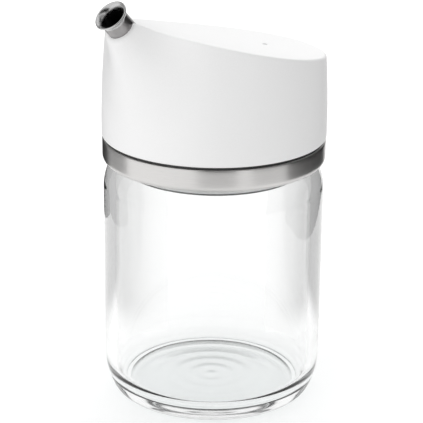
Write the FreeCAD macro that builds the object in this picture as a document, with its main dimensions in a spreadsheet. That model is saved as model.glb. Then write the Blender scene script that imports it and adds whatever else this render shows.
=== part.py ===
"""Table oil dispenser: a clear glass jar, a steel collar and a sculpted white pourer cap.

The origin is on the jar's axis, in the plane of the foot that it stands on.  +Z is up and the
spout points to -X, so XZ is the plane of symmetry.  Lengths are millimetres, angles degrees.
"""
import FreeCAD, Part
import math
import os
import re

import Sketcher
from FreeCAD import Rotation, Vector

SIZES = {
    # Glass jar
    "JarDiameter": 61.4,
    "JarHeight": 79.0,
    "JarWall": 3.2,
    "JarFloor": 4.8,
    "BellyRadius": 21.1,
    "BellySweep": 25.5,
    "HeelRadius": 2.8,
    "InnerHeelRadius": 6.0,
    "FootWidth": 1.7,
    "PuntDepth": 0.8,
    "ShoulderDrop": 19.0,
    "ShoulderRadius": 14.0,
    "ShoulderWidth": 3.7,
    "NeckWall": 2.4,
    "NeckLipRadius": 1.0,
    # Steel collar, seated on the jar's shoulder
    "CollarOverhang": 0.3,
    "CollarRise": 7.8,
    "CollarHeight": 6.5,
    "CollarEdgeRadius": 1.9,
    "CollarRimRadius": 0.35,
    "CollarClearance": 0.15,
    # Recessed seal between the collar and the cap
    "SealHeight": 0.7,
    "SealRecess": 0.7,
    # Cap
    "CapOverhang": 0.15,
    "CapWaistHeight": 3.0,
    "CapFlankRadius": 284.0,
    "CapWall": 2.4,
    "BackRise": 22.25,
    "MiddleRise": 27.25,
    "FrontRise": 36.45,
    "DishDepth": 2.4,
    "RimRadius": 2.0,
    "VentInset": 11.35,
    "VentDiameter": 1.5,
    "VentDimpleRadius": 3.0,
    "VentDimpleDepth": 0.35,
    # Beak that carries the spout
    "SpoutElevation": 47.0,
    "SeatOverhang": 3.45,
    "SeatRise": 35.95,
    "BeakDiameter": 9.6,
    "BeakBlend": 8.0,
    "BossMargin": 0.15,
    # Steel spout, measured along its own axis from the beak's face
    "SpoutDiameter": 7.2,
    "SpoutWall": 0.45,
    "SpoutStraight": 3.0,
    "SpoutRoot": 9.5,
    "FlareRadius": 2.0,
    "FlareSweep": 57.0,
    "LipEdgeRadius": 0.26,
    "SpoutClearance": 0.05,
    # Stopper in the jar's neck
    "StopperDepth": 14.2,
    "StopperWall": 1.6,
    "StopperEdgeRadius": 0.6,
    "StopperFlange": 2.0,
    "StopperClearance": 0.15,
    "PourHoleDiameter": 14.0,
}

# Sizes that follow from the ones above, so that every piece still fits when one of those changes.
FOLLOWS = {
    "ShoulderStart": "JarHeight - ShoulderDrop",
    "NeckDiameter": "JarDiameter - 2 * ShoulderWidth",
    "CollarDiameter": "JarDiameter + 2 * CollarOverhang",
    "CollarStart": "ShoulderStart + CollarRise",
    "CapDiameter": "CollarDiameter + 2 * CapOverhang",
    "CapStart": "CollarStart + CollarHeight + SealHeight",
    "BackHeight": "CapStart + BackRise",
    "MiddleHeight": "CapStart + MiddleRise",
    "FrontHeight": "CapStart + FrontRise",
    "VentOffset": "CapDiameter / 2 - VentInset",
    "SeatReach": "CapDiameter / 2 + SeatOverhang",
    "SeatHeight": "CapStart + SeatRise",
    "StopperBottom": "JarHeight - StopperDepth",
}

# Heights and radii that several outlines share, written with the names above.
JAR_RADIUS = "JarDiameter / 2"
JAR_INSIDE = f"({JAR_RADIUS} - JarWall)"
NECK_RADIUS = "NeckDiameter / 2"
NECK_INSIDE = f"({NECK_RADIUS} - NeckWall)"
SHOULDER_AXIS = f"({JAR_RADIUS} - ShoulderRadius)"
COLLAR_TOP = "(CollarStart + CollarHeight)"
COLLAR_INSIDE = f"({NECK_RADIUS} + CollarClearance)"

# How finely the cap's blank is sampled: levels up it, and points round half of each level.
BLANK_LEVELS = 17
HALF_OUTLINE_POINTS = 48


def make_sheet(doc):
    """Write the driving dimensions to a spreadsheet, one named cell each."""
    sheet = doc.addObject("Spreadsheet::Sheet", "Sizes")
    for row, (name, value) in enumerate(SIZES.items(), start=1):
        sheet.set(f"A{row}", name)
        sheet.set(f"B{row}", str(value))
        sheet.setAlias(f"B{row}", name)
    doc.recompute()
    return sheet


def written_out(expression):
    """Put the formula of each size that follows from others in place of its name."""
    formulas = re.compile(rf"\b({'|'.join(FOLLOWS)})\b")
    while formulas.search(expression):
        expression = formulas.sub(lambda found: f"({FOLLOWS[found[1]]})", expression)
    return expression


def bound(expression):
    """Point every capitalised name in an expression at its cell."""
    return re.sub(r"\b([A-Z]\w+)", r"Sizes.\1", written_out(expression))


def bind_constraint(sketch, kind, places, expression):
    """Add a dimension to a sketch and bind it to the sheet."""
    value = float(sketch.evalExpression(bound(expression)))
    row = sketch.addConstraint(Sketcher.Constraint(kind, *places, value))
    sketch.setExpression(f"Constraints[{row}]", bound(expression))


def draw_outline(sketch, corners):
    """Draw a closed outline whose corners and radii are bound to the sheet.

    Each corner is (x, y) or (x, y, radius, side).  With a radius, an arc runs to the next
    corner, bulging to the left of that way (side 1) or to its right (side -1).
    """
    points = []
    for corner in corners:
        x, y = (float(sketch.evalExpression(bound(text))) for text in corner[:2])
        points.append(Vector(x, y, 0))
    edges = []
    for index, corner in enumerate(corners):
        start, end = points[index], points[(index + 1) % len(points)]
        if len(corner) == 2:
            edge = sketch.addGeometry(Part.LineSegment(start, end), False)
            edges.append((edge, 1, 2))
            continue
        radius, side = float(sketch.evalExpression(bound(corner[2]))), corner[3]
        chord = end - start
        left = Vector(-chord.y, chord.x, 0).normalize()
        sagitta = radius - math.sqrt(max(radius**2 - chord.Length**2 / 4, 0.0))
        middle = (start + end) * 0.5 + left * (side * sagitta)
        edge = sketch.addGeometry(Part.Arc(start, middle, end), False)
        # A sketch stores arcs anticlockwise: one that bulges left ends where its corner starts.
        edges.append((edge, 2, 1) if side > 0 else (edge, 1, 2))
    for index, (edge, first, _last) in enumerate(edges):
        before, _first, last_before = edges[index - 1]
        sketch.addConstraint(Sketcher.Constraint("Coincident", before, last_before, edge, first))
        for kind, axis, text in (("DistanceX", -2, corners[index][0]),
                                 ("DistanceY", -1, corners[index][1])):
            if text == "0":
                sketch.addConstraint(Sketcher.Constraint("PointOnObject", edge, first, axis))
            else:
                bind_constraint(sketch, kind, (-1, 1, edge, first), text)
        if len(corners[index]) == 4:
            bind_constraint(sketch, "Radius", (edge,), corners[index][2])


def turned_body(doc, name, corners):
    """Make a body by turning an outline, drawn in XZ, about the Z axis."""
    body = doc.addObject("PartDesign::Body", name)
    body.Label = name
    sketch = body.newObject("Sketcher::SketchObject", f"{name}_outline")
    planes = body.Origin.OriginFeatures
    upright = next(item for item in planes if item.Role == "XZ_Plane")
    sketch.AttachmentSupport = [(upright, "")]
    sketch.MapMode = "FlatFace"
    doc.recompute()
    draw_outline(sketch, corners)
    turned = body.newObject("PartDesign::Revolution", f"{name}_turned")
    turned.Profile = sketch
    turned.ReferenceAxis = (sketch, ["V_Axis"])
    turned.Angle = 360.0
    sketch.Visibility = False
    doc.recompute()
    return body


def make_jar(doc):
    """Glass jar: domed foot, two-arc heel, straight wall, round shoulder and plain neck."""
    foot = f"({JAR_RADIUS} - BellyRadius * (1 - cos(BellySweep)) - HeelRadius * cos(BellySweep))"
    foot_inside = f"({foot} - FootWidth)"
    heel_top = "(HeelRadius * (1 - sin(BellySweep)))"
    shoulder_top = (
        f"ShoulderStart + sqrt(ShoulderRadius^2 - ({NECK_RADIUS} - {SHOULDER_AXIS})^2)"
    )
    inner_shoulder = "(ShoulderRadius - JarWall)"
    inner_shoulder_top = (
        f"ShoulderStart + sqrt({inner_shoulder}^2 - ({NECK_INSIDE} - {SHOULDER_AXIS})^2)"
    )
    return turned_body(doc, "jar", [
        ("0", "PuntDepth", f"({foot_inside}^2 + PuntDepth^2) / (2 * PuntDepth)", 1),
        (foot_inside, "0"),
        (foot, "0", "HeelRadius", -1),
        (f"{JAR_RADIUS} - BellyRadius * (1 - cos(BellySweep))", heel_top, "BellyRadius", -1),
        (JAR_RADIUS, f"{heel_top} + BellyRadius * sin(BellySweep)"),
        (JAR_RADIUS, "ShoulderStart", "ShoulderRadius", -1),
        (NECK_RADIUS, shoulder_top),
        (NECK_RADIUS, "JarHeight - NeckLipRadius", "NeckLipRadius", -1),
        (f"{NECK_RADIUS} - NeckLipRadius", "JarHeight"),
        (f"{NECK_INSIDE} + NeckLipRadius", "JarHeight", "NeckLipRadius", -1),
        (NECK_INSIDE, "JarHeight - NeckLipRadius"),
        (NECK_INSIDE, inner_shoulder_top, inner_shoulder, 1),
        (JAR_INSIDE, "ShoulderStart"),
        (JAR_INSIDE, "JarFloor + InnerHeelRadius", "InnerHeelRadius", 1),
        (f"{JAR_INSIDE} - InnerHeelRadius", "JarFloor"),
        ("0", "JarFloor"),
    ])


def make_collar(doc):
    """Steel collar whose inner edge follows the jar's shoulder, clear of it all round."""
    outside = "CollarDiameter / 2"
    seat = "(ShoulderRadius + CollarClearance)"
    seat_edge = f"{SHOULDER_AXIS} + sqrt({seat}^2 - (CollarStart - ShoulderStart)^2)"
    seat_top = f"ShoulderStart + sqrt({seat}^2 - ({COLLAR_INSIDE} - {SHOULDER_AXIS})^2)"
    return turned_body(doc, "collar", [
        (seat_edge, "CollarStart"),
        (f"{outside} - CollarEdgeRadius", "CollarStart", "CollarEdgeRadius", -1),
        (outside, "CollarStart + CollarEdgeRadius"),
        (outside, f"{COLLAR_TOP} - CollarRimRadius", "CollarRimRadius", -1),
        (f"{outside} - CollarRimRadius", COLLAR_TOP),
        (COLLAR_INSIDE, COLLAR_TOP),
        (COLLAR_INSIDE, seat_top, seat, 1),
    ])


def make_seal_ring(doc):
    """Flat seal that sets the dark line between the collar and the cap."""
    outside = "CollarDiameter / 2 - SealRecess"
    return turned_body(doc, "seal_ring", [
        (COLLAR_INSIDE, COLLAR_TOP),
        (outside, COLLAR_TOP),
        (outside, "CapStart"),
        (COLLAR_INSIDE, "CapStart"),
    ])


def make_stopper(doc):
    """Stopper: a skirt in the jar's neck under a flange with the opening that oil pours by."""
    skirt = f"({NECK_INSIDE} - StopperClearance)"
    skirt_inside = f"({skirt} - StopperWall)"
    flange_top = "(JarHeight + StopperFlange)"
    rise = f"({flange_top} - CapStart - CapWaistHeight)"
    flank = f"(CapDiameter / 2 - {rise}^2 / (2 * CapFlankRadius))"
    flange = f"({flank} - CapWall - StopperClearance)"
    hole = "PourHoleDiameter / 2"
    return turned_body(doc, "stopper", [
        (skirt_inside, "StopperBottom + StopperEdgeRadius", "StopperEdgeRadius", -1),
        (f"{skirt_inside} + StopperEdgeRadius", "StopperBottom"),
        (f"{skirt} - StopperEdgeRadius", "StopperBottom", "StopperEdgeRadius", -1),
        (skirt, "StopperBottom + StopperEdgeRadius"),
        (skirt, "JarHeight"),
        (flange, "JarHeight"),
        (flange, flange_top),
        (hole, flange_top),
        (hole, "JarHeight"),
        (skirt_inside, "JarHeight"),
    ])


def make_spout(doc):
    """Steel spout: a thin tube with a flared, round-edged lip, tilted into its seat."""
    bore = "(SpoutDiameter / 2 - SpoutWall)"
    outside = "SpoutDiameter / 2"
    inner_flare = "(FlareRadius + SpoutWall)"
    flare_axis = f"({outside} + FlareRadius)"
    body = turned_body(doc, "spout", [
        (bore, "0 - SpoutRoot"),
        (outside, "0 - SpoutRoot"),
        (outside, "SpoutStraight", "FlareRadius", 1),
        (f"{flare_axis} - FlareRadius * cos(FlareSweep)",
         "SpoutStraight + FlareRadius * sin(FlareSweep)", "LipEdgeRadius", -1),
        (f"{flare_axis} - {inner_flare} * cos(FlareSweep)",
         f"SpoutStraight + {inner_flare} * sin(FlareSweep)", inner_flare, -1),
        (bore, "SpoutStraight"),
    ])
    body.Placement.Rotation = Rotation(Vector(0, -1, 0), 1.0)
    body.setExpression("Placement.Rotation.Angle", bound("90 - SpoutElevation"))
    body.setExpression("Placement.Base.x", bound("0 - SeatReach"))
    body.setExpression("Placement.Base.z", bound("SeatHeight"))
    doc.recompute()
    return body


class CapForm:
    """The surfaces that shape the cap, worked out from the sheet's sizes."""

    def __init__(self, sheet):
        for name in SIZES:
            setattr(self, name, float(sheet.get(name)))
        for name in FOLLOWS:
            setattr(self, name, float(sheet.evalExpression(bound(name))))
        self.start = self.CapStart
        self.radius = self.CapDiameter / 2
        tilt = math.radians(self.SpoutElevation)
        self.seat = Vector(-self.SeatReach, 0, self.SeatHeight)
        self.spout_axis = Vector(-math.cos(tilt), 0, math.sin(tilt))

    def flank_radius(self, z):
        """Return the cap's radius at a height: widest at the waist, slightly drawn in above."""
        rise = z - self.start - self.CapWaistHeight
        return self.radius - rise**2 / (2 * self.CapFlankRadius)

    def beak_gap(self, point):
        """Return how far a point lies outside the beak, a round boss on the spout's axis."""
        offset = point - self.seat
        along = self.spout_axis * offset.dot(self.spout_axis)
        return (offset - along).Length - self.BeakDiameter / 2

    def outer_gap(self, radius, angle, z):
        """Return how far a point lies outside the flank and the beak, blended together."""
        point = Vector(radius * math.cos(angle), radius * math.sin(angle), z)
        flank = radius - self.flank_radius(z)
        beak = self.beak_gap(point)
        overlap = max(self.BeakBlend - abs(flank - beak), 0.0)
        return min(flank, beak) - overlap**2 / (4 * self.BeakBlend)

    def outer_radius(self, angle, z):
        """Return the radius of the blended outline in a direction, found by halving."""
        inside = self.flank_radius(z) - self.BeakBlend / 4
        outside = self.SeatReach + self.BeakDiameter + self.BeakBlend
        while outside - inside > 1e-6:
            middle = (inside + outside) / 2
            if self.outer_gap(middle, angle, z) < 0:
                inside = middle
            else:
                outside = middle
        return inside

    def crown_terms(self):
        """Return the crown's height as the factors of 1, x, x^2 and y^2."""
        slope = (self.BackHeight - self.FrontHeight) / 2
        bow = (self.BackHeight + self.FrontHeight) / 2 - self.MiddleHeight
        square = self.radius**2
        dish = self.DishDepth / square
        return self.MiddleHeight - self.DishDepth, slope / self.radius, bow / square + dish, dish

    def crown_height(self, x, y):
        """Return the height of the dished crown above a point."""
        level, slope, bow, dish = self.crown_terms()
        return level + slope * x + bow * x**2 + dish * y**2

    def crown_block(self, lowered):
        """Return a block that fills the space above the crown, lowered by some depth."""
        level, slope, bow, dish = self.crown_terms()
        reach = 2 * self.radius
        # A parabola over -reach to reach is a Bezier curve with these three pole heights.
        along = [level - lowered + bow * reach**2 - slope * reach,
                 level - lowered - bow * reach**2,
                 level - lowered + bow * reach**2 + slope * reach]
        across = [dish * reach**2, -dish * reach**2, dish * reach**2]
        patch = Part.BezierSurface()
        patch.increase(2, 2)
        for row, height in enumerate(along, start=1):
            for column, lift in enumerate(across, start=1):
                pole = Vector((row - 2) * reach, (column - 2) * reach, height + lift)
                patch.setPole(row, column, pole)
        return patch.toShape().extrude(Vector(0, 0, self.FrontHeight))


def half_outline(form, z, side):
    """Return half of the cap's outline at a height, from the back to the beak."""
    points = []
    for index in range(HALF_OUTLINE_POINTS):
        # The points crowd towards the beak, where the outline turns most.
        share = index / (HALF_OUTLINE_POINTS - 1)
        angle = math.pi * (1 - (1 - share) ** 1.6)
        radius = form.outer_radius(angle, z)
        points.append(Vector(radius * math.cos(angle), side * radius * math.sin(angle), z))
    points[-1].y = 0
    curve = Part.BSplineCurve()
    curve.interpolate(Points=points, InitialTangent=Vector(0, side, 0),
                      FinalTangent=Vector(0, -side, 0))
    return curve.toShape()


def cap_blank(form):
    """Return the cap's outer body, flank and beak blended, taller than the crown."""
    top = form.crown_height(-form.SeatReach, 0) + 1.0
    outlines = []
    for level in range(BLANK_LEVELS):
        z = form.start + (top - form.start) * level / (BLANK_LEVELS - 1)
        outlines.append(Part.Wire([half_outline(form, z, 1), half_outline(form, z, -1)]))
    return Part.makeLoft(outlines, True, False)


def cap_cavity(form):
    """Return the hollow of the cap: the flank and the crown, each set in by the wall."""
    low = form.start - form.CapWall
    high = form.FrontHeight
    corners = []
    for z in (low, (low + high) / 2, high):
        corners.append(Vector(form.flank_radius(z) - form.CapWall, 0, z))
    flank = Part.Arc(*corners).toShape()
    loop = Part.makePolygon([corners[2], Vector(0, 0, high), Vector(0, 0, low), corners[0]])
    face = Part.Face(Part.Wire([flank] + loop.Edges))
    solid = face.revolve(Vector(0, 0, 0), Vector(0, 0, 1), 360)
    return solid.cut(form.crown_block(form.CapWall))


def round_rim(form, body):
    """Round the edge between the flank and the crown."""
    rim = []
    for edge in body.Edges:
        middle = edge.valueAt((edge.FirstParameter + edge.LastParameter) / 2)
        on_crown = abs(middle.z - form.crown_height(middle.x, middle.y)) < 0.01
        if on_crown and edge.Length > form.radius:
            rim.append(edge)
    return body.makeFillet(form.RimRadius, rim)


def cap_shape(form):
    """Return the finished cap: cut to its crown and seat, rounded, hollowed and drilled."""
    in_front = Part.makeCylinder(1.5 * form.BeakDiameter, form.SeatReach, form.seat,
                                 form.spout_axis)
    boss = Part.makeCylinder(form.BeakDiameter / 2 + form.BossMargin, 2 * form.SeatReach,
                             form.seat - form.spout_axis * form.SeatReach, form.spout_axis)
    above = form.crown_block(0).cut(boss)
    body = round_rim(form, cap_blank(form).cut(above).cut(in_front))

    root = form.seat - form.spout_axis * (form.SpoutRoot + form.SpoutDiameter)
    socket_radius = form.SpoutDiameter / 2 + form.SpoutClearance
    socket = Part.makeCylinder(socket_radius, form.SeatReach, root, form.spout_axis)

    vent_top = Vector(form.VentOffset, 0, form.crown_height(form.VentOffset, 0))
    vent = Part.makeCylinder(form.VentDiameter / 2, 3 * form.CapWall,
                             vent_top - Vector(0, 0, 2 * form.CapWall))
    rise = Vector(0, 0, form.VentDimpleRadius - form.VentDimpleDepth)
    dimple = Part.makeSphere(form.VentDimpleRadius, vent_top + rise)
    return body.cut([cap_cavity(form), socket, vent, dimple])


def make_cap_shell(doc, sheet):
    """White moulded cap, open below, with its crown swept up to the beak."""
    cap = doc.addObject("Part::Feature", "cap_shell")
    cap.Label = "cap_shell"
    cap.Shape = cap_shape(CapForm(sheet))
    return cap


def check_document(doc, pieces):
    """Stop if an object failed to compute, or if a piece isn't one valid solid."""
    for item in doc.Objects:
        if "Invalid" in item.State or "Error" in item.State:
            raise RuntimeError(f"{item.Label} failed: {item.State}")
    for piece in pieces:
        shape = piece.Shape
        if shape.isNull() or not shape.isValid() or len(shape.Solids) != 1:
            raise RuntimeError(f"{piece.Label} isn't one valid solid")


def main():
    """Build the document and write each piece to its own STEP file."""
    doc = FreeCAD.newDocument("oil_dispenser")
    sheet = make_sheet(doc)
    pieces = [
        make_jar(doc),
        make_collar(doc),
        make_seal_ring(doc),
        make_stopper(doc),
        make_cap_shell(doc, sheet),
        make_spout(doc),
    ]
    doc.recompute()
    check_document(doc, pieces)
    os.makedirs("parts", exist_ok=True)
    for piece in pieces:
        piece.Shape.exportStep(f"parts/{piece.Label}.step")
        print(f"{piece.Label}: {piece.Shape.Volume / 1000:.2f} cm3")


main()
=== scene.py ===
"""Dresses the oil dispenser: clear glass jar, steel collar, white pouring cap and steel spout.

Every piece is made in metres in the part's own frame, where the jar stands on Z = 0, the axis
of the jar is the Z axis and the spout points to -X.  Sizes in the classes are millimetres.
"""

import logging
import math
from dataclasses import dataclass, field
from enum import Enum

import bmesh
import bpy
import numpy as np
from bmesh.types import BMEdge, BMesh, BMVert
from bpy.types import ID, Material, Mesh, Node, NodeSocket, NodeTree, Object
from mathutils import Matrix, Vector


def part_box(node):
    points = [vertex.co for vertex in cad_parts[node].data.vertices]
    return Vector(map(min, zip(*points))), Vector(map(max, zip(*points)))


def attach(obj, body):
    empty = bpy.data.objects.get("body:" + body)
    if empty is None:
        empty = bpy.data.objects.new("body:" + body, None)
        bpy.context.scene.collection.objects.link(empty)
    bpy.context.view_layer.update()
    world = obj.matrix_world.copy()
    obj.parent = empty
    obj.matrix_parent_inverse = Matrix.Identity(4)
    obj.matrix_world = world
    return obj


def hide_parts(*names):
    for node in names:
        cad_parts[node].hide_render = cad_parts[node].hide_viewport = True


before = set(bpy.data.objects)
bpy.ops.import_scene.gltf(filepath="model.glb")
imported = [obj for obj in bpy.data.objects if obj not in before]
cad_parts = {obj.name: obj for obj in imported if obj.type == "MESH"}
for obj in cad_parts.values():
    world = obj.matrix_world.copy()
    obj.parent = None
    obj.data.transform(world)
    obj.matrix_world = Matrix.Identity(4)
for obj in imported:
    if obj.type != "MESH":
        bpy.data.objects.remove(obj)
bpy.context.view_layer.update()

LOG = logging.getLogger("oil_dispenser")
Values = dict[str, float | tuple[float, ...]]
"""Values of a node's inputs, by label."""
MM = 0.001
TINY = 1e-7
"""Distance in metres at which points count as one."""
HAIR = 0.01
"""Distance in millimetres at which a height counts as reached."""
BODY = "root"


class Brushing(Enum):
    """The way that a steel surface was finished."""

    ROUND = "brushed round its own axis"
    POLISHED = "polished"


class ShownIn(Enum):
    """What shows a card."""

    METAL = "metal"
    GLASS = "glass"


# --- Outlines and lathe work ---


class Outline:
    """A lathe outline in millimetres: points of radius and height, in order."""

    def __init__(self, radius: float, height: float) -> None:
        """Start the outline at a point."""
        self.points: list[Vector] = [Vector((radius, 0.0, height))]

    def line(self, radius: float, height: float, steps: int = 1) -> None:
        """Run straight to a point.

        Args:
            radius: Distance of the end from the axis.
            height: Height of the end.
            steps: How many equal stretches the line is cut into.
        """
        start, end = self.points[-1].copy(), Vector((radius, 0.0, height))
        for step in range(1, steps + 1):
            self.points.append(start.lerp(end, step / steps))

    def arc(self, radius: float, height: float, bend: float, steps: int) -> None:
        """Run along an arc to a point.

        Args:
            radius: Distance of the end from the axis.
            height: Height of the end.
            bend: Radius of the arc, positive when it turns to the left of the way.
            steps: How many stretches stand for the arc.
        """
        start, end = self.points[-1].copy(), Vector((radius, 0.0, height))
        chord = end - start
        left = Vector((-chord.z, 0.0, chord.x)).normalized()
        reach = math.sqrt(max(bend**2 - chord.length_squared / 4, 0.0))
        centre = (start + end) / 2 + left * math.copysign(reach, bend)
        sweep = math.copysign(2 * math.asin(min(chord.length / 2 / abs(bend), 1.0)), bend)
        spoke = start - centre
        for step in range(1, steps + 1):
            turn = Matrix.Rotation(-sweep * step / steps, 3, "Y")
            self.points.append(centre + turn @ spoke)


def spin(mesh: BMesh, points: list[Vector], segments: int, closed: bool) -> None:
    """Turn a line of points about the Z axis.

    Args:
        mesh: The mesh that takes the turned line.
        points: The points of the line, in order.
        segments: How many steps make the full turn.
        closed: Whether the last point joins the first, as round a ring.
    """
    verts = [mesh.verts.new(point) for point in points]
    pairs = list(zip(verts, verts[1:]))
    if closed:
        pairs.append((verts[-1], verts[0]))
    edges = [mesh.edges.new(pair) for pair in pairs]
    bmesh.ops.spin(mesh, geom=verts + edges, cent=(0, 0, 0), axis=(0, 0, 1), angle=math.tau,
                   steps=segments, use_merge=True, use_duplicate=False)


def lathe(outline: Outline, segments: int, closed: bool) -> BMesh:
    """Make a solid by turning an outline about the Z axis.

    Args:
        outline: The outline, in millimetres.
        segments: How many steps make the full turn.
        closed: Whether the last point joins the first, as round a ring.

    Returns:
        A closed mesh in metres whose faces point outwards.
    """
    mesh = bmesh.new()
    spin(mesh, [point * MM for point in outline.points], segments, closed)
    bmesh.ops.remove_doubles(mesh, verts=mesh.verts, dist=TINY)
    bmesh.ops.recalc_face_normals(mesh, faces=mesh.faces)
    return mesh


def grow(mesh: BMesh, edges: list[BMEdge]) -> tuple[list[BMVert], list[BMEdge]]:
    """Extrude open edges in place.

    Args:
        mesh: The mesh.
        edges: Its open edges.

    Returns:
        The new vertices and the new edges.
    """
    grown = bmesh.ops.extrude_edge_only(mesh, edges=edges)["geom"]
    return ([item for item in grown if isinstance(item, BMVert)],
            [item for item in grown if isinstance(item, BMEdge)])


def extent(box: tuple[Vector, Vector]) -> tuple[float, float, float]:
    """Return the bottom, the top and the outer radius of a box, in millimetres."""
    low, high = box
    return low.z / MM, high.z / MM, high.x / MM


def new_mesh(name: str, mesh: BMesh) -> Mesh:
    """Keep a finished mesh.

    Args:
        name: Name to keep it under.
        mesh: The finished mesh, which is freed.

    Returns:
        What was kept.
    """
    data = bpy.data.meshes.new(name)
    mesh.to_mesh(data)
    mesh.free()
    return data


def new_object(name: str, data: ID) -> Object:
    """Put an object into the scene.

    Args:
        name: Name of the object.
        data: Its mesh, lamp or camera.

    Returns:
        The object.
    """
    item = bpy.data.objects.new(name, data)
    bpy.context.scene.collection.objects.link(item)
    return item


def wrap_uv(mesh: BMesh) -> None:
    """Lay a UV map round the Z axis: U runs round it once, V is the height in metres.

    Args:
        mesh: The mesh, in metres.
    """
    layer = mesh.loops.layers.uv.new("round")
    for face in mesh.faces:
        middle = face.calc_center_median()
        about = math.atan2(middle.y, middle.x)
        for loop in face.loops:
            place = loop.vert.co
            angle = math.atan2(place.y, place.x)
            if angle - about > math.pi:
                angle -= math.tau
            elif about - angle > math.pi:
                angle += math.tau
            loop[layer].uv = (angle / math.tau, place.z)


def finish_piece(name: str, mesh: BMesh, finishes: list[Material],
                 nodes: list[str], sharp_above: float = 40.0) -> Object:
    """Make an object of a mesh, attach it to the body and hide the CAD nodes that it replaces.

    Args:
        name: Name of the piece.
        mesh: The finished mesh, which is freed.
        finishes: The piece's materials, in the order of its faces' material indices.
        nodes: The CAD nodes that it replaces.
        sharp_above: Edges that turn by more than this many degrees stay sharp.

    Returns:
        The new object.
    """
    data = new_mesh(name, mesh)
    data.polygons.foreach_set("use_smooth", [True] * len(data.polygons))
    data.set_sharp_from_angle(angle=math.radians(sharp_above))
    for finish in finishes:
        data.materials.append(finish)
    piece = new_object(name, data)
    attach(piece, BODY)
    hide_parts(*nodes)
    return piece


# --- Finishes ---


def set_inputs(node: Node, values: Values) -> None:
    """Give inputs of a node their values, by label."""
    for label, value in values.items():
        node.inputs[label].default_value = value


def add_node(tree: NodeTree, kind: str, values: Values | None = None) -> Node:
    """Add a shader node to a tree.

    Args:
        tree: The tree.
        kind: The kind of node, without the word ShaderNode before it.
        values: Values of its inputs, by label.

    Returns:
        The new node.
    """
    node = tree.nodes.new("ShaderNode" + kind)
    set_inputs(node, values or {})
    return node


def new_group(name: str, inputs: dict[str, float], output: str) -> tuple[NodeTree, Node, Node]:
    """Start a shader node group.

    Args:
        name: Name of the group.
        inputs: Names and defaults of its number inputs.
        output: Name of its output, a number.

    Returns:
        The group, its input node and its output node.
    """
    group, kind = bpy.data.node_groups.new(name, "ShaderNodeTree"), "NodeSocketFloat"
    for label, value in inputs.items():
        socket = group.interface.new_socket(label, in_out="INPUT", socket_type=kind)
        socket.default_value = value
    group.interface.new_socket(output, in_out="OUTPUT", socket_type=kind)
    return group, group.nodes.new("NodeGroupInput"), group.nodes.new("NodeGroupOutput")


def streak_group() -> NodeTree:
    """Make the group of fine brushed streaks that run round the Z axis.

    Returns:
        A group that puts out a mask of streaks from 0 to 1.
    """
    group, given, result = new_group(
        "brushed_streaks", {"Lines": 9000.0, "Length": 260.0}, "Streaks")
    links = group.links
    split, join = add_node(group, "SeparateXYZ"), add_node(group, "CombineXYZ")
    links.new(add_node(group, "TexCoord").outputs["Object"], split.inputs[0])
    for axis, scale in (("X", "Length"), ("Y", "Length"), ("Z", "Lines")):
        stretch = add_node(group, "Math")
        stretch.operation = "MULTIPLY"
        links.new(split.outputs[axis], stretch.inputs[0])
        links.new(given.outputs[scale], stretch.inputs[1])
        links.new(stretch.outputs[0], join.inputs[axis])
    noise = add_node(group, "TexNoise", {"Scale": 1.0, "Detail": 3.0, "Roughness": 0.6})
    links.new(join.outputs[0], noise.inputs["Vector"])
    links.new(noise.outputs["Fac"], result.inputs["Streaks"])
    return group


def grain_group() -> NodeTree:
    """Make the group of fine even grain that moulded and polished surfaces have.

    Returns:
        A group that puts out a mask of grain from 0 to 1.
    """
    group, given, result = new_group("fine_grain", {"Scale": 900.0}, "Grain")
    noise = add_node(group, "TexNoise", {"Detail": 2.0})
    group.links.new(add_node(group, "TexCoord").outputs["Object"], noise.inputs["Vector"])
    group.links.new(given.outputs["Scale"], noise.inputs["Scale"])
    group.links.new(noise.outputs["Fac"], result.inputs["Grain"])
    return group


def new_material(name: str) -> tuple[Material, Node]:
    """Start a material.

    Args:
        name: Name of the material.

    Returns:
        The material and its Principled shader.
    """
    material = bpy.data.materials.new(name)
    material.use_nodes = True
    return material, material.node_tree.nodes["Principled BSDF"]


def span(tree: NodeTree, mask: NodeSocket, low: float, high: float) -> NodeSocket:
    """Spread a mask between two values.

    Args:
        tree: The tree.
        mask: The mask of 0 to 1.
        low: Value where the mask is 0.
        high: Value where the mask is 1.

    Returns:
        The result's socket.
    """
    node = add_node(tree, "MapRange", {"To Min": low, "To Max": high})
    tree.links.new(mask, node.inputs["Value"])
    return node.outputs["Result"]


def tint(tree: NodeTree, mask: NodeSocket, dark: tuple[float, ...],
         light: tuple[float, ...]) -> NodeSocket:
    """Mix two colours by a mask.

    Args:
        tree: The tree.
        mask: The mask of 0 to 1.
        dark: Colour where the mask is 0.
        light: Colour where the mask is 1.

    Returns:
        The result's socket.
    """
    node = add_node(tree, "Mix")
    node.data_type = "RGBA"
    colours = [socket for socket in node.inputs if socket.type == "RGBA"]
    colours[0].default_value = (*dark, 1.0)
    colours[1].default_value = (*light, 1.0)
    tree.links.new(mask, node.inputs["Factor"])
    return next(socket for socket in node.outputs if socket.type == "RGBA")


def relief(tree: NodeTree, mask: NodeSocket, depth: float) -> NodeSocket:
    """Turn a mask into a bumped normal.

    Args:
        tree: The tree.
        mask: The mask of 0 to 1.
        depth: Height of the bumps in metres.

    Returns:
        The normal's socket.
    """
    node = add_node(tree, "Bump", {"Strength": 1.0, "Distance": depth})
    tree.links.new(mask, node.inputs["Height"])
    return node.outputs["Normal"]


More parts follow.
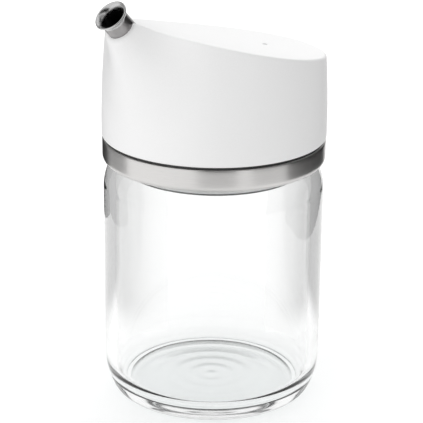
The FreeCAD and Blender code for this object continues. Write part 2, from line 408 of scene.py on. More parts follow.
def vary(tree: NodeTree, shader: Node, mask: NodeSocket,
         finish: "SteelFinish | MouldedFinish") -> None:
    """Let a mask vary the colour, the roughness and the relief of a finish.

    Args:
        tree: The material's tree.
        shader: Its Principled shader.
        mask: The mask of 0 to 1.
        finish: The finish, which says how far each of them varies.
    """
    colour = tint(tree, mask, finish.dark, finish.light)
    tree.links.new(colour, shader.inputs["Base Color"])
    tree.links.new(span(tree, mask, *finish.roughness), shader.inputs["Roughness"])
    tree.links.new(relief(tree, mask, finish.depth), shader.inputs["Normal"])


def show_by_ray(tree: NodeTree, kinds: tuple[str, ...], shown: Node,
                otherwise: Node, output: str = "Material Output") -> None:
    """Show one shader to some kinds of ray, and another to the rest.

    Args:
        tree: The tree of a material or of the world.
        kinds: The kinds of ray, as the light path names them.
        shown: The shader for rays of these kinds.
        otherwise: The shader for all other rays.
        output: Name of the tree's output node.
    """
    path = add_node(tree, "LightPath")
    found = path.outputs[kinds[0]]
    for kind in kinds[1:]:
        either = add_node(tree, "Math")
        either.operation = "MAXIMUM"
        tree.links.new(found, either.inputs[0])
        tree.links.new(path.outputs[kind], either.inputs[1])
        found = either.outputs[0]
    mix = add_node(tree, "MixShader")
    tree.links.new(found, mix.inputs["Fac"])
    tree.links.new(otherwise.outputs[0], mix.inputs[1])
    tree.links.new(shown.outputs[0], mix.inputs[2])
    tree.links.new(mix.outputs["Shader"], tree.nodes[output].inputs["Surface"])


@dataclass(frozen=True)
class GlassFinish:
    """Clear pressed glass with the faint waviness of a moulded wall."""

    name: str = "clear_glass"
    tone: tuple[float, float, float] = (0.966, 0.969, 0.968)
    roughness: float = 0.0
    shade: tuple[float, float, float] = (0.93, 0.94, 0.94)
    index: float = 1.5
    wave_scale: float = 55.0
    wave_depth: float = 0.00001

    def material(self, grain: NodeTree) -> Material:
        """Build the glass.

        Args:
            grain: The group of fine grain, used here at a large scale for the waviness.

        Returns:
            The material.
        """
        material, shader = new_material(self.name)
        tree = material.node_tree
        set_inputs(shader, {"Base Color": (*self.tone, 1.0), "Roughness": self.roughness,
                            "IOR": self.index, "Transmission Weight": 1.0})
        wave = add_node(tree, "Group")
        wave.node_tree = grain
        set_inputs(wave, {"Scale": self.wave_scale})
        tree.links.new(relief(tree, wave.outputs["Grain"], self.wave_depth),
                       shader.inputs["Normal"])
        # Light that falls through the glass reaches what lies behind it.
        clear = add_node(tree, "BsdfTransparent", {"Color": (*self.shade, 1.0)})
        show_by_ray(tree, ("Is Shadow Ray", "Is Diffuse Ray"), clear, shader)
        return material


@dataclass(frozen=True)
class SteelFinish:
    """Stainless steel, brushed or polished."""

    name: str
    brushing: Brushing
    dark: tuple[float, float, float] = (0.60, 0.59, 0.58)
    light: tuple[float, float, float] = (0.74, 0.73, 0.72)
    roughness: tuple[float, float] = (0.25, 0.36)
    depth: float = 0.000004
    anisotropy: float = 0.8
    rotation: float = 0.25

    def material(self, streaks: NodeTree,
                 grain: NodeTree) -> Material:
        """Build the steel.

        Args:
            streaks: The group of brushed streaks.
            grain: The group of fine grain, for polished steel.

        Returns:
            The material.
        """
        material, shader = new_material(self.name)
        tree = material.node_tree
        pattern = add_node(tree, "Group")
        brushed = self.brushing is Brushing.ROUND
        pattern.node_tree = streaks if brushed else grain
        vary(tree, shader, pattern.outputs["Streaks" if brushed else "Grain"], self)
        set_inputs(shader, {"Metallic": 1.0})
        if brushed:
            set_inputs(shader, {"Anisotropic": self.anisotropy,
                                "Anisotropic Rotation": self.rotation})
        return material


@dataclass(frozen=True)
class MouldedFinish:
    """Moulded plastic with a fine even grain; near-black copies of it paint shade."""

    name: str
    dark: tuple[float, float, float]
    light: tuple[float, float, float]
    roughness: tuple[float, float] = (0.36, 0.46)
    grain_scale: float = 2600.0
    depth: float = 0.000003

    def material(self, grain: NodeTree) -> Material:
        """Build the plastic.

        Args:
            grain: The group of fine grain.

        Returns:
            The material.
        """
        material, shader = new_material(self.name)
        tree = material.node_tree
        pattern = add_node(tree, "Group")
        pattern.node_tree = grain
        set_inputs(pattern, {"Scale": self.grain_scale})
        vary(tree, shader, pattern.outputs["Grain"], self)
        return material


# --- The pieces ---


@dataclass
class GlassJar:
    """The glass jar: domed foot, two-arc heel, straight wall, round shoulder and neck."""

    wall: float = 3.2
    floor: float = 3.2
    belly_radius: float = 21.1
    belly_sweep: float = math.radians(25.5)
    heel_radius: float = 2.8
    inner_heel: float = 6.0
    foot_width: float = 1.7
    punt_depth: float = 0.8
    ripple_depth: float = 0.05
    ripple_length: float = 5.0
    ripple_reach: float = 0.75
    shoulder_start: float = 60.0
    shoulder_radius: float = 14.0
    neck_radius: float = 27.0
    neck_wall: float = 2.4
    neck_lip: float = 1.0
    segments: int = 192

    def outline(self) -> Outline:
        """Draw the jar's section.

        Returns:
            The outline, from the middle of the foot round to the inside floor.
        """
        _, top, outside = extent(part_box("jar"))
        sweep = self.belly_sweep
        belly = outside - self.belly_radius * (1 - math.cos(sweep))
        foot = belly - self.heel_radius * math.cos(sweep)
        foot_inside = foot - self.foot_width
        heel_top = self.heel_radius * (1 - math.sin(sweep))
        axis = outside - self.shoulder_radius
        neck_inside = self.neck_radius - self.neck_wall
        inner_shoulder = self.shoulder_radius - self.wall
        shoulder_top = self.shoulder_start + math.sqrt(
            self.shoulder_radius**2 - (self.neck_radius - axis)**2)
        inner_top = self.shoulder_start + math.sqrt(inner_shoulder**2 - (neck_inside - axis)**2)
        punt = (foot_inside**2 + self.punt_depth**2) / (2 * self.punt_depth)
        inside = outside - self.wall
        section = Outline(0.0, self.punt_depth)
        section.arc(foot_inside, 0.0, -punt, 48)
        section.line(foot, 0.0, 2)
        section.arc(belly, heel_top, self.heel_radius, 12)
        section.arc(outside, heel_top + self.belly_radius * math.sin(sweep), self.belly_radius, 16)
        section.line(outside, self.shoulder_start, 12)
        section.arc(self.neck_radius, shoulder_top, self.shoulder_radius, 14)
        section.line(self.neck_radius, top - self.neck_lip, 3)
        section.arc(self.neck_radius - self.neck_lip, top, self.neck_lip, 6)
        section.line(neck_inside + self.neck_lip, top)
        section.arc(neck_inside, top - self.neck_lip, self.neck_lip, 6)
        section.line(neck_inside, inner_top, 3)
        section.arc(inside, self.shoulder_start, -inner_shoulder, 14)
        section.line(inside, self.floor + self.inner_heel, 12)
        section.arc(inside - self.inner_heel, self.floor, -self.inner_heel, 16)
        section.line(0.0, self.floor, 12)
        return section

    def build(self, finishes: list[Material]) -> Object:
        """Turn and dress the jar.

        Args:
            finishes: The clear glass and the frosted glass of the domed foot.

        Returns:
            The jar.
        """
        mesh = lathe(self.outline(), self.segments, closed=False)
        domed = [face for face in mesh.faces
                 if face.calc_center_median().z / MM < self.punt_depth + HAIR]
        for face in domed:
            face.material_index = 1
        # The domed foot keeps faint rings from its mould.
        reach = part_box("jar")[1].x
        for vert in {vert for face in domed for vert in face.verts}:
            away = math.hypot(vert.co.x, vert.co.y)
            fade = max(0.0, 1.0 - away / (self.ripple_reach * reach))
            wave = math.cos(2 * math.pi * away / MM / self.ripple_length)
            vert.co.z += self.ripple_depth * MM * fade * wave
        return finish_piece("glass_jar", mesh, finishes, ["jar"])


@dataclass
class SteelCollar:
    """The brushed collar, seated on the jar's shoulder."""

    edge_radius: float = 1.9
    rim_radius: float = 0.35
    seat_radius: float = 14.15
    shoulder_axis: float = 16.7
    shoulder_start: float = 60.0
    inside: float = 27.15
    segments: int = 192

    def build(self, finish: Material) -> Object:
        """Turn and dress the collar.

        Args:
            finish: The brushed steel.

        Returns:
            The collar.
        """
        bottom, top, outside = extent(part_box("collar"))
        seat_edge = self.shoulder_axis + math.sqrt(
            self.seat_radius**2 - (bottom - self.shoulder_start)**2)
        seat_top = self.shoulder_start + math.sqrt(
            self.seat_radius**2 - (self.inside - self.shoulder_axis)**2)
        section = Outline(seat_edge, bottom)
        section.line(outside - self.edge_radius, bottom)
        section.arc(outside, bottom + self.edge_radius, self.edge_radius, 10)
        section.line(outside, top - self.rim_radius, 4)
        section.arc(outside - self.rim_radius, top, self.rim_radius, 5)
        section.line(self.inside, top)
        section.line(self.inside, seat_top)
        section.arc(seat_edge, bottom, -self.seat_radius, 6)
        del section.points[-1]
        mesh = lathe(section, self.segments, closed=True)
        wrap_uv(mesh)
        return finish_piece("steel_collar", mesh, [finish], ["collar"])


@dataclass
class ShadowGapRing:
    """The recessed near-black ring between the collar and the cap: painted shade for the shadow
    line in the gap.
    """

    inside: float = 27.15
    corner: float = 0.12
    segments: int = 128

    def build(self, finish: Material) -> Object:
        """Turn and dress the ring.

        Args:
            finish: The near-black painted shade.

        Returns:
            The ring.
        """
        bottom, top, outside = extent(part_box("seal_ring"))
        section = Outline(self.inside, bottom)
        section.line(outside - self.corner, bottom)
        section.arc(outside, bottom + self.corner, self.corner, 3)
        section.line(outside, top - self.corner)
        section.arc(outside - self.corner, top, self.corner, 3)
        section.line(self.inside, top)
        mesh = lathe(section, self.segments, closed=True)
        return finish_piece("dark_seal", mesh, [finish], ["seal_ring"])


@dataclass
class Stopper:
    """The stopper in the jar's neck: skirt, flange and pouring hole."""

    skirt_wall: float = 1.6
    skirt_outside: float = 24.45
    edge_radius: float = 0.6
    flange_start: float = 79.0
    hole_radius: float = 7.0
    segments: int = 128

    def build(self, finishes: list[Material]) -> Object:
        """Turn and dress the stopper.

        Args:
            finishes: The white plastic and the near-black painted shade of its lower edge.

        Returns:
            The stopper.
        """
        bottom, top, flange = extent(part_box("stopper"))
        skirt_inside = self.skirt_outside - self.skirt_wall
        section = Outline(skirt_inside, bottom + self.edge_radius)
        section.arc(skirt_inside + self.edge_radius, bottom, self.edge_radius, 5)
        section.line(self.skirt_outside - self.edge_radius, bottom)
        section.arc(self.skirt_outside, bottom + self.edge_radius, self.edge_radius, 5)
        section.line(self.skirt_outside, self.flange_start, 4)
        section.line(flange, self.flange_start)
        section.line(flange, top)
        section.line(self.hole_radius, top, 4)
        section.line(self.hole_radius, self.flange_start)
        section.line(skirt_inside, self.flange_start, 4)
        mesh = lathe(section, self.segments, closed=True)
        # The lowest band of the skirt is painted near-black: painted shade for the dark line under
        # the collar.
        for face in mesh.faces:
            if face.calc_center_median().z / MM < bottom + self.edge_radius:
                face.material_index = 1
        return finish_piece("neck_stopper", mesh, finishes, ["stopper"])


@dataclass
class PourSpout:
    """The steel spout: thin tube, flared lip with a rolled edge, tilted into its seat."""

    elevation: float = math.radians(47.0)
    seat_reach: float = 34.6
    seat_height: float = 110.95
    outside: float = 3.6
    wall: float = 0.45
    straight: float = 3.0
    root: float = 9.5
    flare_radius: float = 2.0
    flare_sweep: float = math.radians(57.0)
    lip_edge: float = 0.26
    lip_start: float = 0.1
    segments: int = 128

    def axis(self) -> Vector:
        """Return the direction in which the spout pours."""
        return Vector((-math.cos(self.elevation), 0.0, math.sin(self.elevation)))

    def placement(self) -> Matrix:
        """Return the placement of the spout's own frame, in metres."""
        place = Vector((-self.seat_reach, 0.0, self.seat_height)) * MM
        return Matrix.Translation(place) @ Matrix.Rotation(self.elevation - math.pi / 2, 4, "Y")

    def build(self, finishes: list[Material]) -> Object:
        """Turn, tilt and dress the spout.

        Args:
            finishes: The steel of the tube, of the flared lip, and the near-black painted shade of
                the bore.

        Returns:
            The spout.
        """
        bore = self.outside - self.wall
        inner_flare = self.flare_radius + self.wall
        flare_axis = self.outside + self.flare_radius
        run, rise = math.cos(self.flare_sweep), math.sin(self.flare_sweep)
        section = Outline(bore, -self.root)
        section.line(self.outside, -self.root)
        section.line(self.outside, self.straight, 8)
        section.arc(flare_axis - self.flare_radius * run,
                    self.straight + self.flare_radius * rise, -self.flare_radius, 10)
        section.arc(flare_axis - inner_flare * run, self.straight + inner_flare * rise,
                    self.lip_edge, 8)
        section.arc(bore, self.straight, inner_flare, 10)
        section.line(bore, -self.root, 8)
        del section.points[-1]
        mesh = lathe(section, self.segments, closed=True)
        for face in mesh.faces:
            middle = face.calc_center_median() / MM
            if middle.z > self.straight + self.lip_start:
                face.material_index = 1
            # Inside the tube the steel is painted near-black: painted shade of the bore.
            elif math.hypot(middle.x, middle.y) < self.outside - self.wall / 2:
                face.material_index = 2
        mesh.transform(self.placement())
        return finish_piece("pour_spout", mesh, finishes, ["spout"], sharp_above=60.0)


@dataclass
class CapForm:
    """The outer form of the cap, as a field that is zero on its skin and negative inside.

    Every method takes and gives arrays, so that all of the cap's profiles are traced at once.
    """

    seat: Vector
    spout_axis: Vector
    start: float
    radius: float = 31.15
    waist: float = 3.0
    flank_bow: float = 284.0
    back_height: float = 97.25
    middle_height: float = 102.45
    front_height: float = 111.45
    dish: float = 1.9
    rim_blend: float = 1.2
    rim_blend_front: float = 0.6
    rim_change_start: float = 1.5
    rim_change_length: float = 6.0
    beak_radius: float = 4.8
    beak_flare: float = math.radians(17.0)
    beak_reach: float = 18.0
    beak_blend: float = 8.5
    beak_edge: float = 1.5
    hem_blend: float = 0.7
    vent_offset: float = 19.8
    dimple_radius: float = 1.9
    dimple_depth: float = 0.3

    def flank_radius(self, z: np.ndarray) -> np.ndarray:
        """Return the plain flank's radius at a height: widest at the waist."""
        return self.radius - (z - self.start - self.waist)**2 / (2 * self.flank_bow)

    def crown_height(self, x: np.ndarray, y: np.ndarray) -> np.ndarray:
        """Return the height of the dished crown, with the vent's dimple.

        Args:
            x: Places along the X axis, in millimetres.
            y: Places along the Y axis.

        Returns:
            The crown's height at each place.
        """
        slope = (self.back_height - self.front_height) / 2 / self.radius
        bow = (self.back_height + self.front_height) / 2 - self.middle_height
        dish = self.dish * ((x**2 + y**2)**2 / self.radius**4 - 1)
        away = ((x - self.vent_offset)**2 + y**2) / self.dimple_radius**2
        dimple = self.dimple_depth * np.clip(1 - away, 0, 1)**2
        return self.middle_height + slope * x + bow * (x / self.radius)**2 + dish - dimple

    @staticmethod
    def merge(first: np.ndarray, second: np.ndarray, blend: np.ndarray) -> np.ndarray:
        """Return the union of two fields, blended in a hollow."""
        overlap = np.maximum(blend - abs(first - second), 0)
        return np.minimum(first, second) - overlap**2 / (4 * blend)

    @staticmethod
    def meet(first: np.ndarray, second: np.ndarray, blend: np.ndarray) -> np.ndarray:
        """Return the meeting of two fields, with a round edge."""
        overlap = np.maximum(blend - abs(first - second), 0)
        return np.maximum(first, second) + overlap**2 / (4 * blend)

    def gap(self, x: np.ndarray, y: np.ndarray, z: np.ndarray) -> np.ndarray:
        """Return how far points lie outside the cap's outer form.

        Args:
            x: Places along the X axis, in millimetres.
            y: Places along the Y axis.
            z: Heights.

        Returns:
            The distances, which are negative inside.
        """
        seat, axis = self.seat, self.spout_axis
        along = (x - seat.x) * axis.x + (z - seat.z) * axis.z
        across = (x - seat.x) * axis.z - (z - seat.z) * axis.x
        spoke = np.hypot(across, y)
        flank = np.hypot(x, y) - self.flank_radius(z)
        # The beak widens for a while, away from the spout.
        beak = (spoke - self.beak_radius) * math.cos(self.beak_flare)
        beak = beak + np.maximum(along, -self.beak_reach) * math.sin(self.beak_flare)
        side = self.merge(flank, beak, self.beak_blend)
        # The rim is crisp beside the spout.
        plain = (x + self.radius + self.rim_change_start) / self.rim_change_length
        change = self.rim_blend - self.rim_blend_front
        rim = self.rim_blend_front + change * np.clip(plain, 0, 1)
        body = self.meet(side, z - self.crown_height(x, y), rim)
        body = self.meet(body, along, self.beak_edge)
        return self.meet(body, self.start - z, self.hem_blend)


@dataclass
class PouringCap:
    """The white cap: a slightly drawn-in flank, a dished rising crown and a beak.

    Its skin is a grid of profiles that leave the vent in all directions, cross the crown,
    turn over the rim and run down to the hem.
    """

    spout: PourSpout
    wall: float = 2.4
    vent_radius: float = 0.75
    vent_depth: float = 1.8
    socket_gap: float = 0.04
    profiles: int = 320
    rows: int = 150
    crowding: float = 0.8
    step: float = 0.1
    steps: int = 1300
    steps_on_crown: int = 100
    mends: int = 2
    probe: float = 1e-3
    hem_inset: float = 0.9
    straight_weight: float = 0.8
    turn_weight: float = 5.0
    turn_window: int = 9
    hem_band: float = 1.0
    socket_reach: float = 1.0
    ceiling_drop: float = 2.0
    inner_edge: float = 0.3
    form: CapForm = field(init=False)

    def __post_init__(self) -> None:
        """Set the cap's form on the CAD cap's hem and turn its beak to the spout."""
        seat = Vector((-self.spout.seat_reach, 0.0, self.spout.seat_height))
        self.form = CapForm(seat, self.spout.axis(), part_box("cap_shell")[0].z / MM)

    def build(self, finish: Material) -> Object:
        """Shape, drill and dress the cap.

        Args:
            finish: The white plastic.

        Returns:
            The cap.
        """
        mesh = self.skin()
        self.drill_vent(mesh)
        hem = [edge for edge in mesh.edges if edge.is_boundary and self.is_low(edge)]
        socket = self.cut_socket(mesh)
        self.line_inside(mesh, hem, socket)
        bmesh.ops.recalc_face_normals(mesh, faces=mesh.faces)
        return finish_piece("pouring_cap", mesh, [finish], ["cap_shell"])

    def is_low(self, edge: BMEdge) -> bool:
        """Return whether an edge lies at the cap's hem."""
        return edge.verts[0].co.z < (self.form.start + self.hem_band) * MM

    def bearings(self) -> np.ndarray:
        """Return the directions of the profiles, crowded towards the spout."""
        turns = np.arange(self.profiles) * math.tau / self.profiles
        return math.pi + turns - self.crowding * np.sin(turns)

    def place(self, reach: np.ndarray, z: np.ndarray,
              bearing: np.ndarray) -> tuple[np.ndarray, np.ndarray, np.ndarray]:
        """Return the place of points given by their reach from the vent's axis."""
        x = self.form.vent_offset + reach * np.cos(bearing)
        return x, reach * np.sin(bearing), z

    def slopes(self, reach: np.ndarray, z: np.ndarray,
               bearing: np.ndarray) -> tuple[np.ndarray, np.ndarray, np.ndarray]:
        """Return the form's gap at points of the profiles, and how it grows.

        Args:
            reach: The points' reach from the vent's axis.
            z: Their heights.
            bearing: Their bearings.

        Returns:
            The gap, its growth per millimetre outwards and its growth per millimetre upwards.
        """
        value = self.form.gap(*self.place(reach, z, bearing))
        out = self.form.gap(*self.place(reach + self.probe, z, bearing))
        rise = self.form.gap(*self.place(reach, z + self.probe, bearing))
        return value, (out - value) / self.probe, (rise - value) / self.probe

    def trace(self) -> tuple[np.ndarray, np.ndarray]:
        """Follow every profile over the skin in small steps.

        Returns:
            The reach and the height of each step of each profile.
        """
        bearing = self.bearings()
        reach = np.full(self.profiles, self.vent_radius)
        z = self.form.crown_height(*self.place(reach, reach, bearing)[:2])
        reaches, heights = [], []
        for _ in range(self.steps):
            for _ in range(self.mends):
                value, out, rise = self.slopes(reach, z, bearing)
                size = out**2 + rise**2
                reach, z = reach - value * out / size, z - value * rise / size
            reaches.append(reach)
            heights.append(z)
            _, out, rise = self.slopes(reach, z, bearing)
            length = np.hypot(out, rise)
            # The profile keeps the solid on its right hand.
            reach, z = reach + self.step * rise / length, z - self.step * out / length
        return np.array(reaches), np.array(heights)

    def resample(self, reaches: np.ndarray, heights: np.ndarray) -> np.ndarray:
        """Share the rows out along each profile, crowded where it turns.

        Args:
            reaches: Reach of each step of each profile.
            heights: Height of each step of each profile.

        Returns:
            The points in metres, by row and profile.
        """
        points = np.zeros((self.rows, self.profiles, 3))
        for index, bearing in enumerate(self.bearings()):
            reach, z = reaches[:, index], heights[:, index]
            under = (z < self.form.start + HAIR) & (np.arange(len(z)) > self.steps_on_crown)
            spread = np.hypot(*self.place(reach, z, bearing)[:2])
            last = int(np.argmax(under & (spread < self.form.radius - self.hem_inset)))
            reach, z = reach[:last + 1], z[:last + 1]
            heading = np.unwrap(np.arctan2(np.diff(z), np.diff(reach)))
            turning = np.abs(np.diff(heading, prepend=heading[0])) / self.step
            window = np.ones(self.turn_window) / self.turn_window
            turning = np.convolve(turning, window, mode="same")
            density = self.straight_weight + self.turn_weight * turning
            weight = np.concatenate(([0.0], np.cumsum(density * self.step)))
            wanted = np.linspace(0, weight[-1], self.rows)
            run = np.interp(wanted, weight, np.arange(len(weight)))
            x, y, z = self.place(np.interp(run, np.arange(len(reach)), reach),
                                 np.interp(run, np.arange(len(z)), z), bearing)
            points[:, index] = np.stack((x, y, z), axis=1) * MM
        return points

    def skin(self) -> BMesh:
        """Turn a flat disc whose rings are then moved onto the cap's form.

        Returns:
            The skin from the vent to the hem, in metres.
        """
        points = self.resample(*self.trace())
        mesh = bmesh.new()
        disc = [Vector((1.0 + row, 0.0, 0.0)) for row in range(self.rows)]
        spin(mesh, disc, self.profiles, closed=False)
        for vert in mesh.verts:
            row = round(vert.co.length) - 1
            turn = math.atan2(vert.co.y, vert.co.x) / math.tau * self.profiles
            vert.co = points[row, round(turn) % self.profiles]
        return mesh

    def drill_vent(self, mesh: BMesh) -> None:
        """Carry the skin's inner edge down into the vent and close it there.

        Args:
            mesh: The skin, in metres.
        """
        rim = [edge for edge in mesh.edges if edge.is_boundary and not self.is_low(edge)]
        verts, floor = grow(mesh, rim)
        bmesh.ops.translate(mesh, verts=verts, vec=(0, 0, -self.vent_depth * MM))
        bmesh.ops.holes_fill(mesh, edges=floor, sides=0)

    def spoke(self, vert: BMVert) -> Vector:
        """Return the vector to a vertex from the spout's axis and square to it, in metres."""
        offset = vert.co - self.form.seat * MM
        return offset - self.form.spout_axis * offset.dot(self.form.spout_axis)

    def cut_socket(self, mesh: BMesh) -> list[BMEdge]:
        """Cut the round socket for the spout and carry its wall down its axis.

        Args:
            mesh: The skin, in metres.

        Returns:
            The edges at the bottom of the socket.
        """
        hole = (self.spout.outside + self.socket_gap) * MM
        seat, axis = self.form.seat * MM, self.form.spout_axis
        near = [vert for vert in mesh.verts if (vert.co - seat).length < 2 * hole
                and (vert.co - seat).dot(axis) > -self.socket_reach * MM]
        on_edge = set()
        for edge in {edge for vert in near for edge in vert.link_edges}:
            first, second = (self.spoke(vert).length - hole for vert in edge.verts)
            if first * second < 0:
                on_edge.add(edge.verts[0] if abs(first) < abs(second) else edge.verts[1])
        for vert in on_edge:
            out = self.spoke(vert)
            vert.co += out.normalized() * (hole - out.length)
        bmesh.ops.connect_verts(mesh, verts=list(on_edge))
        inside = {face for vert in near for face in vert.link_faces
                  if all(self.spoke(corner).length < hole + TINY for corner in face.verts)}
        bmesh.ops.delete(mesh, geom=list(inside), context="FACES")
        rim = [edge for edge in mesh.edges if edge.is_boundary and not self.is_low(edge)]
        verts, bottom = grow(mesh, rim)
        for vert in verts:
            depth = self.spout.root * MM + (vert.co - seat).dot(axis)
            vert.co -= axis * depth
        return bottom

    def line_inside(self, mesh: BMesh, hem: list[BMEdge],
                    socket: list[BMEdge]) -> None:
        """Carry the skin from the hem up the inside, and join it to the socket.

        Args:
            mesh: The skin, in metres.
            hem: The skin's lower edges.
            socket: The edges at the bottom of the socket.
        """
        form = self.form
        ceiling = form.back_height - self.wall - self.ceiling_drop
        edge = self.inner_edge
        moves = ((self.wall - edge, form.start), (self.wall, form.start + edge),
                 (self.wall, (form.start + ceiling) / 2), (self.wall, ceiling))
        for inset, z in moves:
            verts, hem = grow(mesh, hem)
            for vert in verts:
                bearing = math.atan2(vert.co.y, vert.co.x)
                radius = form.flank_radius(z) - inset
                place = (radius * math.cos(bearing), radius * math.sin(bearing), z)
                vert.co = Vector(place) * MM
        bmesh.ops.bridge_loops(mesh, edges=hem + socket)
        open_edges = sum(1 for side in mesh.edges if not side.is_manifold)
        LOG.info("cap: %d faces, %d open edges", len(mesh.faces), open_edges)


# --- The studio ---


@dataclass(frozen=True)
class StudioCamera:
    """The camera: a long lens looking a little down, the spout turned towards it on its left."""

    azimuth: float = math.radians(-45.0)
    ground_distance: float = 0.47185
    height: float = 0.22293
    pitch: float = math.radians(19.93)
    pan: float = math.radians(0.06)
    roll: float = math.radians(0.64)
    lens: float = 151.6
    sensor: float = 36.0
    clip: float = 0.01

    def build(self) -> None:
        """Make the camera and give it to the scene."""
        data = bpy.data.cameras.new("camera")
        data.lens = self.lens
        data.sensor_width = self.sensor
        data.clip_start = self.clip
        camera = new_object("camera", data)
        turn = Matrix.Rotation(self.azimuth, 4, "Z")
        place = turn @ Vector((0.0, -self.ground_distance, self.height))
        look = Matrix.Rotation(self.azimuth + self.pan, 4, "Z")
        look = look @ Matrix.Rotation(math.pi / 2 - self.pitch, 4, "X")
        look = look @ Matrix.Rotation(self.roll, 4, "Z")
        camera.matrix_world = Matrix.Translation(place) @ look
        bpy.context.scene.camera = camera


@dataclass(frozen=True)
class Card:
    """An upright card near the object that only its metal shows, or only its glass.

    Bearings are in degrees and lengths in metres.  A card with a ramp fades from the floor's
    level, at its inner side and its foot, to its own strength.
    """

    name: str
    bearing: float
    distance: float
    width: float
    height: float
    level: float
    strength: float
    shown_in: ShownIn = ShownIn.METAL
    shift: float = 0.0
    ramp: float = 0.0
    rise: float = 0.012
    floor_level: float = 1.06

    def build(self, camera: StudioCamera) -> None:
        """Make the card.

        Args:
            camera: The camera; bearings count from its side of the object, right is positive.
        """
        mesh = bmesh.new()
        bmesh.ops.create_grid(mesh, x_segments=1, y_segments=1, size=0.5)
        bmesh.ops.scale(mesh, verts=mesh.verts, vec=(self.width, self.height, 1.0))
        bmesh.ops.translate(mesh, verts=mesh.verts, vec=(self.shift, 0.0, 0.0))
        upright = Matrix.Rotation(math.pi / 2, 4, "X")
        place = Matrix.Translation((0.0, -self.distance, self.level))
        turn = Matrix.Rotation(camera.azimuth + math.radians(self.bearing), 4, "Z")
        data = new_mesh(self.name, mesh)
        material, _ = new_material(self.name)
        tree = material.node_tree
        tree.nodes.clear()
        glow = add_node(tree, "Emission", {"Strength": self.strength})
        if self.ramp:
            split = add_node(tree, "SeparateXYZ")
            tree.links.new(add_node(tree, "TexCoord").outputs["Object"], split.inputs[0])
            inner = self.shift - math.copysign(self.width / 2, self.ramp)
            both = add_node(tree, "Math")
            both.operation = "MULTIPLY"
            spans = (("X", inner, inner + self.ramp),
                     ("Y", -self.height / 2, self.rise - self.height / 2))
            for index, (axis, start, end) in enumerate(spans):
                fade = add_node(tree, "MapRange", {"From Min": start, "From Max": end})
                fade.interpolation_type = "SMOOTHSTEP"
                tree.links.new(split.outputs[axis], fade.inputs["Value"])
                tree.links.new(fade.outputs["Result"], both.inputs[index])
            level = span(tree, both.outputs[0], self.floor_level, self.strength)
            tree.links.new(level, glow.inputs["Strength"])
        out = add_node(tree, "OutputMaterial")
        tree.links.new(glow.outputs["Emission"], out.inputs["Surface"])
        data.materials.append(material)
        card = new_object(self.name, data)
        card.matrix_world = turn @ place @ upright
        card.visible_camera = False
        card.visible_diffuse = False
        card.visible_shadow = False
        card.visible_glossy = self.shown_in is ShownIn.METAL
        card.visible_transmission = self.shown_in is ShownIn.GLASS


@dataclass(frozen=True)
class Lamp:
    """A soft square lamp that points at the middle of the object."""

    name: str
    bearing: float
    elevation: float
    distance: float
    size: float
    power: float

    def build(self, camera: StudioCamera, target: Vector) -> None:
        """Make the lamp.

        Args:
            camera: The camera; bearings count from its side of the object, right is positive.
            target: The point that the lamp looks at.
        """
        data = bpy.data.lights.new(self.name, "AREA")
        data.energy = self.power
        data.size = self.size
        lamp = new_object(self.name, data)
        turn = camera.azimuth + math.radians(self.bearing)
        rise = math.radians(self.elevation)
        away = Vector((math.sin(turn) * math.cos(rise), -math.cos(turn) * math.cos(rise),
                       math.sin(rise)))
        lamp.location = target + away * self.distance
        lamp.rotation_euler = away.to_track_quat("Z", "Y").to_euler()
        lamp.visible_glossy = False
        lamp.visible_transmission = False


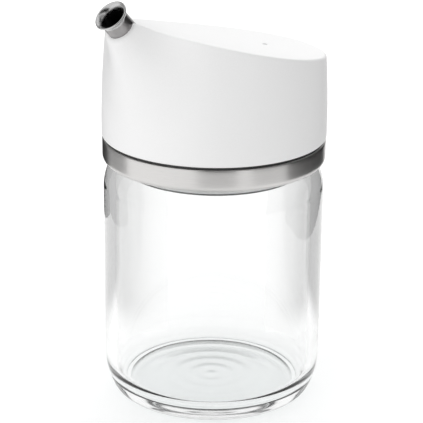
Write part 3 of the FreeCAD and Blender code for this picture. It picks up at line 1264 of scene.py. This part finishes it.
@dataclass(frozen=True)
class Studio:
    """The white room: world, floor, lamps and the cards that shape the reflections."""

    camera: StudioCamera = StudioCamera()
    ambient: float = 0.9
    floor_size: float = 6.0
    floor_lift: float = 0.15
    floor_shade: float = 0.9
    aim: float = 0.07
    seen: tuple[str, ...] = ("Is Camera Ray", "Is Glossy Ray", "Is Transmission Ray")

    def build(self) -> None:
        """Make everything in the studio."""
        self.camera.build()
        self.build_world()
        self.build_floor()
        target = Vector((0.0, 0.0, self.aim))
        lamps = (
            Lamp("key", -56.0, 30.0, 0.9, 1.2, 3.15),
            Lamp("back", 172.0, 42.0, 0.9, 0.8, 3.6),
        )
        for lamp in lamps:
            lamp.build(self.camera, target)
        glass = ShownIn.GLASS
        cards = (
            Card("left_flag", -152.0, 0.15, 0.13, 0.3, 0.15, 0.03),
            Card("left_grey", -112.0, 0.16, 0.12, 0.5, 0.2, 0.36),
            Card("right_flag", 110.0, 0.15, 0.22, 0.4, 0.2, 0.02),
            Card("right_grey", 60.0, 0.3, 0.26, 0.9, 0.3, 0.36),
            Card("front_flag", 4.0, 0.42, 0.29, 1.2, 0.4, 0.02),
            Card("left_edge", 180.0, 0.0325, 0.078, 0.24, 0.12, 0.6, glass, 0.054, 0.028),
            Card("right_edge", 180.0, 0.0325, 0.076, 0.24, 0.12, 0.52, glass, -0.056, -0.024),
        )
        for card in cards:
            card.build(self.camera)

    def build_world(self) -> None:
        """Light the room evenly, and show it white to the camera, glass and metal."""
        world = bpy.data.worlds.new("white_room")
        bpy.context.scene.world = world
        world.use_nodes = True
        tree = world.node_tree
        shown = tree.nodes["Background"]
        set_inputs(shown, {"Color": (1.0, 1.0, 1.0, 1.0), "Strength": 1.0})
        light = add_node(tree, "Background", {"Strength": self.ambient})
        show_by_ray(tree, self.seen, shown, light, "World Output")

    def build_floor(self) -> None:
        """Lay the pale floor, lifted to white where it is seen, with the object's soft shadow."""
        mesh = bmesh.new()
        bmesh.ops.create_grid(mesh, x_segments=1, y_segments=1, size=self.floor_size)
        data = new_mesh("floor", mesh)
        material, shader = new_material("pale_floor")
        tree = material.node_tree
        set_inputs(shader, {"Base Color": (*[self.floor_shade] * 3, 1.0), "Roughness": 1.0,
                            "Specular IOR Level": 0.0})
        glow = add_node(tree, "Emission", {"Strength": self.floor_lift})
        lifted = add_node(tree, "AddShader")
        tree.links.new(shader.outputs["BSDF"], lifted.inputs[0])
        tree.links.new(glow.outputs["Emission"], lifted.inputs[1])
        show_by_ray(tree, self.seen, lifted, shader)
        data.materials.append(material)
        floor = new_object("floor", data)


def main() -> None:
    """Build the finishes, the pieces and the studio."""
    logging.basicConfig(level=logging.INFO, format="%(name)s: %(message)s")
    bpy.context.scene.view_settings.view_transform = "Standard"
    streaks, grain = streak_group(), grain_group()
    glass = [GlassFinish().material(grain),
             GlassFinish("frosted_glass", roughness=0.08).material(grain)]
    collar_steel = SteelFinish("collar_steel", Brushing.ROUND).material(streaks, grain)
    looks = (
        ("tube_steel", (0.3, 0.29, 0.29), (0.38, 0.37, 0.37), (0.28, 0.4), 0.000002),
        ("lip_steel", (0.52, 0.52, 0.52), (0.6, 0.6, 0.6), (0.22, 0.3), 0.000001),
        # The bore is painted near-black: painted shade inside the tube.
        ("bore_painted_shade", (0.05, 0.05, 0.05), (0.09, 0.09, 0.09), (0.35, 0.45), 0.000001),
    )
    spout_steels = [
        SteelFinish(name, Brushing.POLISHED, *look).material(streaks, grain)
        for name, *look in looks]
    white = MouldedFinish("white_plastic", (0.86, 0.86, 0.86), (0.9, 0.9, 0.9)).material(grain)
    stopper_plastic = [
        MouldedFinish("stopper_plastic", (0.8, 0.8, 0.8), (0.84, 0.84, 0.84)).material(grain),
        # The stopper's lower edge is painted near-black: painted shade.
        MouldedFinish("stopper_edge_painted_shade", (0.1, 0.1, 0.1), (0.14, 0.14, 0.14)).material(grain),
    ]
    # The gap between the collar and the cap is a near-black ring: painted shade.
    gap_shadow = MouldedFinish("gap_painted_shade", (0.03, 0.03, 0.03), (0.05, 0.05, 0.05),
                           roughness=(0.55, 0.7)).material(grain)
    spout = PourSpout()
    pieces = [
        GlassJar().build(glass),
        SteelCollar().build(collar_steel),
        ShadowGapRing().build(gap_shadow),
        Stopper().build(stopper_plastic),
        PouringCap(spout).build(white),
        spout.build(spout_steels),
    ]
    for piece in pieces:
        LOG.info("%s: %d faces", piece.name, len(piece.data.polygons))
    Studio().build()


if __name__ == "__main__":
    main()
